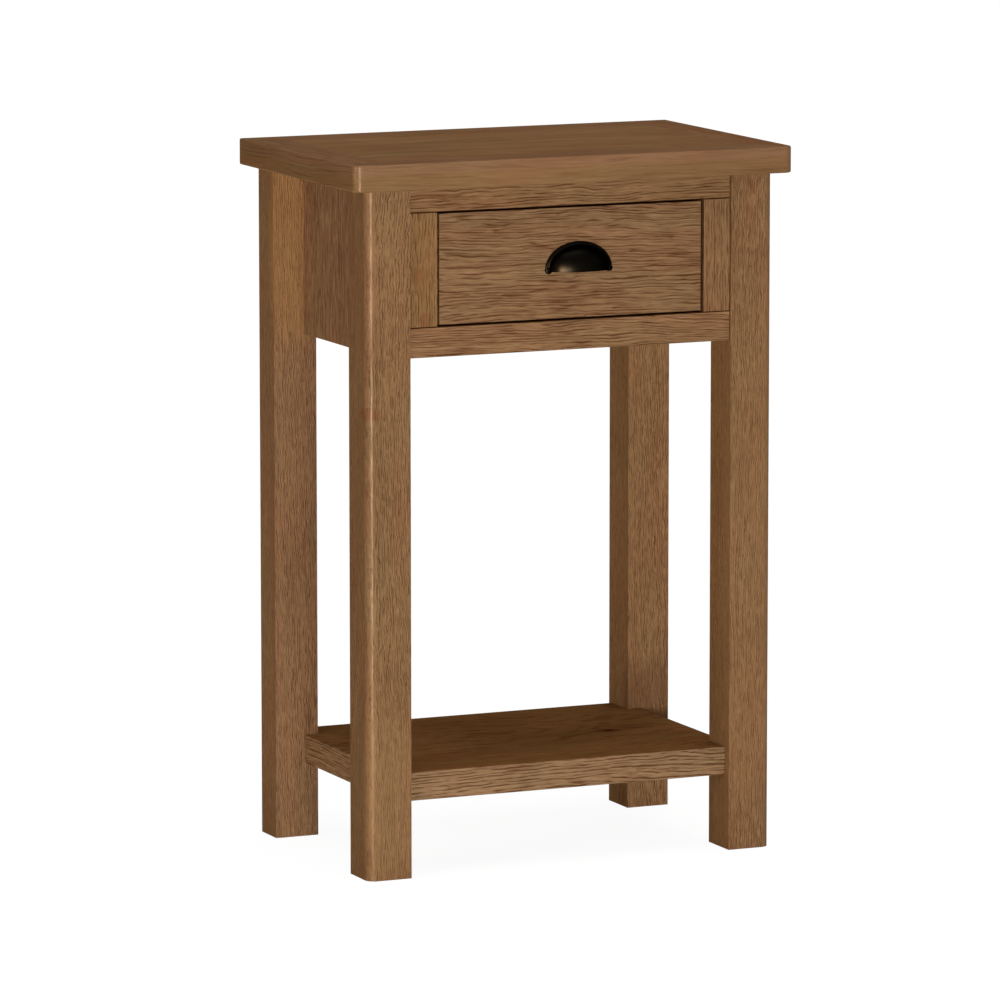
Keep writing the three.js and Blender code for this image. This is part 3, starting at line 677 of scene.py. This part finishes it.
# what the boards of one kind share, unless a board says otherwise
sharedByKind = {
    "leg": {"along": "z", "arris": 0.8 * mm, "outside": 2},
    "rail": {"along": "x", "arris": 0.7 * mm},
    "stile": {"along": "z", "arris": 0.6 * mm, "grooved": True},
    "panel": {"along": "z", "arris": 0.5 * mm},
    "shelf": {"along": "x", "arris": 0.8 * mm},
    "top": {"along": "x", "arris": 0},
    "drawerFront": {"along": "x", "arris": 0.5 * mm},
    "plain": {"along": "y", "arris": 0.3 * mm},
}
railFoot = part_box("front_rail_lower")[0].z
shelfLow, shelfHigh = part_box("shelf")
redBrown = linear(112, 62, 38)
orange = linear(161, 115, 62)
paler = linear(165, 126, 84)
darker = linear(105, 70, 48)
knotPlace = (shelfLow.x + 0.308, shelfHigh.y - 0.152, shelfHigh.z)
heartPlace = (shelfLow.x + 0.309, shelfHigh.y - 0.151, shelfHigh.z)
knot = linear(96, 50, 28)
knotHeart = linear(50, 26, 14)
boards = [
    {"node": "leg_front_left", "kind": "leg", "tone": (0.98, 0.99, 0.94), "shadedFlank": (1.03, 1.02, 1.06),
     "shine": 1.0, "marks": [markAt((-0.229, -0.138, 0.490), (0.022, 0.022, 0.010), redBrown, 0.45),
                             markAt((-0.206, -0.143, 0.090), (0.080, 0.020, 0.130), paler, 0.24)]},
    # this leg's flank is lightened as painted light, making up for the shade the front-left leg casts on it
    {"node": "leg_front_right", "kind": "leg", "tone": (1.03, 1.01, 0.96), "shadedFlank": (1.18, 1.15, 1.10),
     "marks": [markAt((0.208, -0.143, 0.300), (0.100, 0.020, 0.380), paler, 0.15)]},
    # the back legs' raised tones are painted light, making up for the light they lose behind the front legs
    {"node": "leg_back_left", "kind": "leg", "tone": (1.16, 1.14, 1.13), "shadedFlank": (1.02, 1.04, 1.05),
     "marks": [markAt((-0.210, 0.111, 0.650), (0.060, 0.020, 0.150), orange, 0.34),
               markAt((-0.210, 0.111, 0.370), (0.080, 0.020, 0.200), darker, 0.25)]},
    {"node": "leg_back_right", "kind": "leg", "tone": (1.22, 1.20, 1.12), "shadedFlank": (0.99, 1.0, 0.98),
     # painted shade: darker low on the leg, just above the shelf
     "marks": [markAt((0.208, 0.111, 0.120), (0.080, 0.020, 0.060), darker, 0.45)]},
    {"node": "front_rail_upper", "kind": "rail", "gapSides": ("-z",), "grooved": True,
     "tone": (0.98, 0.95, 0.90)},
    {"node": "front_rail_lower", "kind": "rail", "gapSides": ("+z",), "grooved": True,
     "plainBelow": railFoot + 2 * mm, "tone": (1.02, 1.01, 0.99)},
    {"node": "front_stile_left", "kind": "stile", "gapSides": ("+x",), "tone": (0.99, 0.98, 0.84),
     "marks": [markAt((-0.172, -0.142, 0.630), (0.012, 0.02, 0.014), redBrown, 0.35),
               markAt((-0.165, -0.142, 0.586), (0.014, 0.02, 0.010), redBrown, 0.35)]},
    {"node": "front_stile_right", "kind": "stile", "gapSides": ("-x",), "tone": (0.96, 0.94, 0.89)},
    {"node": "side_panel_left", "kind": "panel", "tone": (1.11, 1.04, 0.98)},
    {"node": "side_panel_right", "kind": "panel", "tone": (1.1, 1.1, 1.05)},
    {"node": "back_panel", "kind": "rail", "arris": 0.5 * mm},
    {"node": "shelf", "kind": "shelf", "tone": (1.12, 1.22, 1.28),
     "marks": [markAt(knotPlace, (0.022, 0.013, 0.01), knot, 0.75),
               markAt(heartPlace, (0.009, 0.006, 0.006), knotHeart, 0.8)]},
    {"node": "top_panel", "kind": "top", "tone": (1.06, 1.09, 0.98)},
    {"node": "top_board_front", "kind": "top", "shine": 1.0, "ripple": 0.12},
    {"node": "top_board_back", "kind": "top", "tone": (0.97, 0.96, 0.95)},
    {"node": "top_board_left", "kind": "top", "along": "y", "shine": 1.0, "ripple": 0.12},
    {"node": "top_board_right", "kind": "top", "along": "y", "tone": (0.98, 0.94, 0.88)},
    # the drawer front's edges take painted shade from the gaps round it
    {"node": "drawer_front", "kind": "drawerFront", "body": "drawer", "tone": (0.93, 0.92, 0.91),
     "gapSides": ("+x", "-x", "+z", "-z")},
]
# the inner boards that come in pairs: name, grain direction and body
pairs = [
    ("drawer_side", "y", "drawer"),
    ("drawer_runner", "y", "carcass"),
    ("drawer_guide", "y", "carcass"),
    ("drawer_kicker", "y", "carcass"),
    ("drawer_stop", "y", "carcass"),
    ("corner_block_front", "x", "carcass"),
    ("corner_block_back", "x", "carcass"),
]
for stem, along, body in pairs:
    for side in ("left", "right"):
        boards.append({"node": stem + "_" + side, "kind": "plain", "along": along, "body": body})
boards.append({"node": "drawer_back", "kind": "plain", "along": "x", "body": "drawer"})
boards.append({"node": "drawer_bottom", "kind": "plain", "along": "x", "arris": 0.2 * mm, "body": "drawer"})
for board in boards:
    dressBoard({**sharedByKind[board["kind"]], **board})
print("boards dressed:", len(boards))


# Dowels keep their solids and take plain wood

for name in sorted(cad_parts):
    if name.startswith("shelf_dowel"):
        low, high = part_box(name)
        wood = oakMaterial({"node": name, "kind": "plain", "along": "x"}, "face", (low + high) / 2)
        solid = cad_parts[name]
        for slot in solid.material_slots:
            slot.material = wood
print("dowels finished")


# Cup pull, in its own frame: x to the right, y into the drawer, z up, from the ears' lowest point at the back

pull = {
    "flangeWide": 3.6 * mm,
    "flangeThick": 2.0 * mm,
    "earRadius": 3.7 * mm,
    "earThick": 3.2 * mm,
    "wall": 2.0 * mm,
    "lipRise": 4.6 * mm,         # the cup's widest level
    "lipDrop": 2.0 * mm,         # the mouth lies this far under it
    "lipRound": 0.6 * mm,
    "lipFrom": 2.0 * mm,         # the lip is rounded beyond this distance from the drawer
    "fillet": 1.1 * mm,          # between the cup and its flange
    "bossRadius": 4.2 * mm,
    "bossApart": 44.0 * mm,
    "bossRise": 9.5 * mm,
    "holeRadius": 2.15 * mm,
    "holeDeep": 8.0 * mm,
    "around": 144,
    "filletSteps": 6,
    "bowlSteps": 30,
    "turnedSteps": 40,
    "lipSteps": 3,
    "weld": 0.0001 * mm,
    "smoothUnder": math.radians(38),
    # the flange's section as shares of its width, from outside to inside, and of its thickness
    "flangeSection": [(0, 0), (0, 0.45), (0.06, 0.75), (0.16, 0.93), (0.30, 1.0), (0.70, 1.0), (1.0, 1.0),
                      (1.0, 0)],
    # an ear's profile as shares of its radius and of its thickness
    "earProfile": [(1, 0), (1, 0.62), (0.95, 0.80), (0.84, 0.93), (0.66, 1), (0.3, 1)],
}
bronze = {
    "base": (0.0026, 0.0022, 0.0016, 1.0),
    "worn": (0.0040, 0.0033, 0.0023, 1.0),
    "wornFrom": (0.45, 0.75),
    "wornShare": 0.6,
    "edgeTint": (0.020, 0.014, 0.009, 1.0),
    "rough": 0.27,
    "roughSpread": 0.10,
    "patches": 90,
    "specks": 900,
    "relief": 0.01 * mm,
}


def bronzeMaterial():
    made, tree = newMaterial("dark_bronze")
    where = objectPoint(tree)
    patch = noise(tree, stretch(tree, where, bronze["patches"], bronze["patches"]), 3, 0.6)
    speck = noise(tree, stretch(tree, where, bronze["specks"], bronze["specks"]), 2, 0.5)
    worn = times(tree, smooth(tree, patch, *bronze["wornFrom"]), bronze["wornShare"])
    colour = mixColour(tree, worn, bronze["base"], bronze["worn"])
    rough = add(tree, times(tree, patch, bronze["roughSpread"]), bronze["rough"])
    skin = cover(tree, colour, rough, speck, bronze["relief"])
    skin["Metallic"].default_value = 1.0
    skin["Specular Tint"].default_value = bronze["edgeTint"]
    return made


def settled(piece):
    # the piece with its modifiers made real
    bpy.context.view_layer.update()
    graph = bpy.context.evaluated_depsgraph_get()
    mesh = bpy.data.meshes.new_from_object(piece.evaluated_get(graph))
    piece.modifiers.clear()
    piece.data = mesh
    for face in mesh.polygons:
        face.use_smooth = True


def stitch(shell, first, second):
    # a closed band of faces between two rows of the same length
    count = len(first)
    for index in range(count):
        after = (index + 1) % count
        shell.faces.new((first[index], first[after], second[after], second[index]))


def stitchRows(shell, rows):
    for first, second in zip(rows, rows[1:]):
        stitch(shell, first, second)


def cupSizes():
    low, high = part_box("cup_pull")
    halfWidth = (high.x - low.x) / 2 - pull["flangeWide"]
    height = high.z - low.z - pull["flangeWide"] - pull["lipRise"]
    return halfWidth, high.y - low.y, height


def addBowl(shell):
    # a whole bowl turned on its side, with an outside, an inside and a rim between them at the back
    halfWidth, reach, height = cupSizes()
    turns = [2 * math.pi * step / pull["around"] for step in range(pull["around"])]

    def row(a, b, depth, flare):
        return [shell.verts.new(((a + flare) * math.cos(turn), -depth,
                                 pull["lipRise"] + (b + flare) * math.sin(turn))) for turn in turns]

    face, fillet, wall, steps = pull["flangeThick"], pull["fillet"], pull["wall"], pull["bowlSteps"]
    depths = [0.0, face]
    depths += [face + fillet * step / pull["filletSteps"] for step in range(1, pull["filletSteps"] + 1)]
    start = math.asin(depths[-1] / reach)
    depths += [reach * math.sin(start + (math.pi / 2 - start) * step / steps) for step in range(1, steps)]
    outside = []
    for depth in depths:
        size = math.sqrt(1 - (depth / reach) ** 2)
        left = min(max(face + fillet - depth, 0), fillet)
        flare = fillet - math.sqrt(fillet ** 2 - left ** 2)
        outside.append(row(halfWidth * size, height * size, depth, flare))
    inside = []
    for step in range(steps):
        size = math.cos(math.pi / 2 * step / steps)
        depth = (reach - wall) * math.sin(math.pi / 2 * step / steps)
        inside.append(row((halfWidth - wall) * size, (height - wall) * size, depth, 0))
    for rows, tip in ((outside, reach), (inside, reach - wall)):
        stitchRows(shell, rows)
        pole = shell.verts.new((0, -tip, pull["lipRise"]))
        for index, corner in enumerate(rows[-1]):
            shell.faces.new((corner, rows[-1][(index + 1) % len(turns)], pole))
    stitch(shell, outside[0], inside[0])
    bmesh.ops.recalc_face_normals(shell, faces=shell.faces)


def addCup(shell):
    # the bowl cut off at the mouth, with a rounded lip
    addBowl(shell)
    mouth = pull["lipRise"] - pull["lipDrop"]
    bmesh.ops.bisect_plane(shell, geom=shell.verts[:] + shell.edges[:] + shell.faces[:], dist=pull["weld"],
                           plane_co=(0, 0, mouth), plane_no=(0, 0, 1), clear_inner=True)
    openEdges = [edge for edge in shell.edges if edge.is_boundary]
    made = bmesh.ops.holes_fill(shell, edges=openEdges, sides=0)
    bmesh.ops.recalc_face_normals(shell, faces=shell.faces)
    rim = [edge for face in made["faces"] for edge in face.edges]
    rim = [edge for edge in rim if min(corner.co.y for corner in edge.verts) < -pull["lipFrom"]]
    bmesh.ops.bevel(shell, geom=rim, offset=pull["lipRound"], offset_type="OFFSET",
                    segments=pull["lipSteps"], profile=0.5, affect="EDGES", clamp_overlap=True, material=-1)


def addFlange(shell):
    low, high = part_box("cup_pull")
    wide, thick, rise = pull["flangeWide"], pull["flangeThick"], pull["earRadius"]
    a, b = (high.x - low.x) / 2, high.z - low.z - rise
    rows = []
    for step in range(pull["around"] + 1):
        turn = math.pi * step / pull["around"]
        rows.append([shell.verts.new(((a - wide * inset) * math.cos(turn), -thick * depth,
                                      rise + (b - wide * inset) * math.sin(turn)))
                     for inset, depth in pull["flangeSection"]])
    stitchRows(shell, rows)
    shell.faces.new(rows[0])
    shell.faces.new(rows[-1])


def addTurned(shell, profile, x, z):
    # a form turned about an axis that runs into the drawer, from its (radius, depth) profile
    steps = pull["turnedSteps"]
    rows = []
    for radius, depth in profile:
        rows.append([shell.verts.new((x + radius * math.cos(2 * math.pi * step / steps), -depth,
                                      z + radius * math.sin(2 * math.pi * step / steps)))
                     for step in range(steps)])
    stitchRows(shell, rows)
    shell.faces.new(rows[0])
    shell.faces.new(rows[-1])
    return rows


def addEar(shell, side):
    low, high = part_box("cup_pull")
    radius, thick = pull["earRadius"], pull["earThick"]
    profile = [(radius * across, thick * deep) for across, deep in pull["earProfile"]]
    addTurned(shell, profile, side * ((high.x - low.x) / 2 - radius), radius)


def addBoss(shell, side):
    # the post's end follows the cup's wall, and its screw hole ends short of it
    halfWidth, reach, height = cupSizes()
    x, z = side * pull["bossApart"] / 2, pull["lipRise"] + pull["bossRise"]
    radius, hole, deep = pull["bossRadius"], pull["holeRadius"], pull["holeDeep"]
    rows = addTurned(shell, [(hole, deep), (hole, 0), (radius, 0), (radius, deep)], x, z)
    for corner in rows[-1]:
        spread = (corner.co.x / halfWidth) ** 2 + ((corner.co.z - pull["lipRise"]) / height) ** 2
        corner.co.y = -(reach * math.sqrt(1 - spread) - pull["wall"] / 2)


def buildPull():
    low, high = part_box("cup_pull")
    shell = bmesh.new()
    addCup(shell)
    addFlange(shell)
    for side in (-1, 1):
        addEar(shell, side)
        addBoss(shell, side)
    bmesh.ops.recalc_face_normals(shell, faces=shell.faces)
    for face in shell.faces:
        face.smooth = True
    for edge in shell.edges:
        edge.smooth = edge.is_manifold and edge.calc_face_angle(0) < pull["smoothUnder"]
    bmesh.ops.translate(shell, vec=((low.x + high.x) / 2, high.y, low.z), verts=shell.verts)
    mesh = bpy.data.meshes.new("cup_pull_casting")
    shell.to_mesh(mesh)
    shell.free()
    piece = addToScene("cup_pull_casting", mesh)
    mesh.materials.append(bronzeMaterial())
    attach(piece, "drawer")
    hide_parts("cup_pull")
    print("cup pull cast:", len(mesh.polygons), "faces")


buildPull()


# Screws: pan heads with a cross recess, turned about their own axis and set where the solids are

screwForm = {
    "steps": 32,
    "topHead": 2.4 * mm,         # how high the heads stand
    "pullHead": 2.6 * mm,
    "shankRadius": 2.0 * mm,
    "dome": 0.45,                # the share of a head's height that is domed
    "recessAcross": 0.55,        # the recess, as shares of the head's radius
    "recessWide": 0.15,
    "recessTaper": 0.5,
    "recessDeep": 0.6,           # and of its height
    "tip": 0.9,                  # the point's length over the shank's width
    "weld": 0.001 * mm,
    "smoothUnder": math.radians(35),
}
steel = {
    "dull": (0.40, 0.36, 0.29, 1.0),
    "bright": (0.56, 0.51, 0.42, 1.0),
    "rough": 0.28,
    "roughSpread": 0.2,
    "brushing": (1500, 300),
    "relief": 0.02 * mm,
}


def steelMaterial():
    made, tree = newMaterial("zinc_steel")
    brush = noise(tree, stretch(tree, objectPoint(tree), *steel["brushing"]), 2, 0.6)
    colour = mixColour(tree, brush, steel["dull"], steel["bright"])
    rough = add(tree, times(tree, brush, steel["roughSpread"]), steel["rough"])
    skin = cover(tree, colour, rough, brush, steel["relief"])
    skin["Metallic"].default_value = 1.0
    return made


def crossRecess(radius, depth):
    # two crossed wedges that the head is cut with
    shape = bmesh.new()
    arm = (2 * radius * screwForm["recessAcross"], 2 * radius * screwForm["recessWide"], 2 * depth)
    for quarter in (0, 90):
        made = bmesh.ops.create_cube(shape, size=1.0)
        bmesh.ops.scale(shape, vec=arm, verts=made["verts"])
        for corner in made["verts"]:
            if corner.co.z > 0:
                corner.co.x *= screwForm["recessTaper"]
        bmesh.ops.rotate(shape, cent=(0, 0, 0), matrix=Matrix.Rotation(math.radians(quarter), 3, "Z"),
                         verts=made["verts"])
    bmesh.ops.recalc_face_normals(shape, faces=shape.faces)
    mesh = bpy.data.meshes.new("cross_recess")
    shape.to_mesh(mesh)
    shape.free()
    return addToScene("cross_recess", mesh)


def screwProfile(headRadius, headHeight, length):
    # (radius, height) from the middle of the head's outer face to the screw's tip
    shank = screwForm["shankRadius"]
    dome = headHeight * screwForm["dome"]
    return [(0, 0), (headRadius * 0.55, headHeight * 0.04), (headRadius * 0.85, dome * 0.45),
            (headRadius * 0.97, dome), (headRadius, headHeight * 0.85), (headRadius * 0.97, headHeight),
            (shank, headHeight), (shank, length - 2 * shank * screwForm["tip"]), (0, length)]


def buildScrew(node, body, metal, headHeight, headRadius, length, toWorld):
    # the head's outer face starts at z = 0, and the shank runs up to z = length
    shape = bmesh.new()
    points = [shape.verts.new((x, 0, z)) for x, z in screwProfile(headRadius, headHeight, length)]
    outline = [shape.edges.new(pair) for pair in zip(points, points[1:])]
    bmesh.ops.spin(shape, geom=points + outline, cent=(0, 0, 0), axis=(0, 0, 1), angle=2 * math.pi,
                   steps=screwForm["steps"], use_merge=True)
    bmesh.ops.remove_doubles(shape, verts=shape.verts, dist=screwForm["weld"])
    bmesh.ops.recalc_face_normals(shape, faces=shape.faces)
    mesh = bpy.data.meshes.new(node + "_turned")
    shape.to_mesh(mesh)
    shape.free()
    piece = addToScene(node + "_turned", mesh)
    tool = crossRecess(headRadius, headHeight * screwForm["recessDeep"])
    recess = piece.modifiers.new("recess", "BOOLEAN")
    recess.operation = "DIFFERENCE"
    recess.solver = "EXACT"
    recess.use_self = True
    recess.object = tool
    settled(piece)
    bpy.data.objects.remove(tool)
    piece.data.transform(toWorld)
    piece.data.set_sharp_from_angle(angle=screwForm["smoothUnder"])
    piece.data.materials.clear()
    piece.data.materials.append(metal)
    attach(piece, body)
    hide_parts(node)


def buildScrews():
    metal = steelMaterial()
    topHead, pullHead = screwForm["topHead"], screwForm["pullHead"]
    for end in ("front", "back"):
        for side in ("left", "right"):
            node = "top_screw_" + end + "_" + side
            low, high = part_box(node)
            place = Matrix.Translation(((low.x + high.x) / 2, (low.y + high.y) / 2, low.z))
            buildScrew(node, "carcass", metal, topHead, (high.x - low.x) / 2, high.z - low.z, place)
    for side in ("left", "right"):
        node = "pull_screw_" + side
        low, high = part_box(node)
        place = Matrix.Translation(((low.x + high.x) / 2, high.y, (low.z + high.z) / 2))
        place = place @ Matrix.Rotation(math.radians(90), 4, "X")
        buildScrew(node, "drawer", metal, pullHead, (high.x - low.x) / 2, high.y - low.y, place)


buildScrews()
print("screws turned")


# The white room

def seenPlainly(tree):
    # one where the camera, a reflection or clear glass looks at it
    ray = tree.nodes.new("ShaderNodeLightPath").outputs
    seen = work(tree, "MAXIMUM", ray["Is Camera Ray"], ray["Is Glossy Ray"])
    return work(tree, "MAXIMUM", seen, ray["Is Transmission Ray"])


def buildFloor():
    shape = bmesh.new()
    bmesh.ops.create_circle(shape, cap_ends=True, segments=studio["floorSides"],
                            radius=studio["floorRadius"])
    mesh = bpy.data.meshes.new("floor")
    shape.to_mesh(mesh)
    shape.free()
    floor = addToScene("floor", mesh)
    made, tree = newMaterial("pale_floor")
    bounce, shown = studio["floorBounce"], studio["floorShown"]
    plain = addNode(tree, "BsdfDiffuse", ((bounce, bounce, bounce, 1),))
    soft = addNode(tree, "BsdfDiffuse", ((shown, shown, shown, 1),))
    white = addNode(tree, "Emission", ((1, 1, 1, 1), studio["floorGlow"]))
    bright = addNode(tree, "AddShader", (soft, white))
    show(tree, addNode(tree, "MixShader", (seenPlainly(tree), plain, bright)))
    mesh.materials.append(made)


def buildWorld():
    world = bpy.data.worlds.new("white_room")
    bpy.context.scene.world = world
    world.use_nodes = True
    tree = world.node_tree
    tree.nodes.clear()
    level = addNode(tree, "MapRange", (seenPlainly(tree), 0.0, 1.0, studio["skyLevel"], 1.0))
    out = tree.nodes.new("ShaderNodeOutputWorld")
    feed(tree, out.inputs["Surface"], addNode(tree, "Background", ((1, 1, 1, 1), level)))


buildCamera()
buildLamps()
buildFloor()
buildWorld()
bpy.context.scene.view_settings.view_transform = "Standard"
print("studio ready")
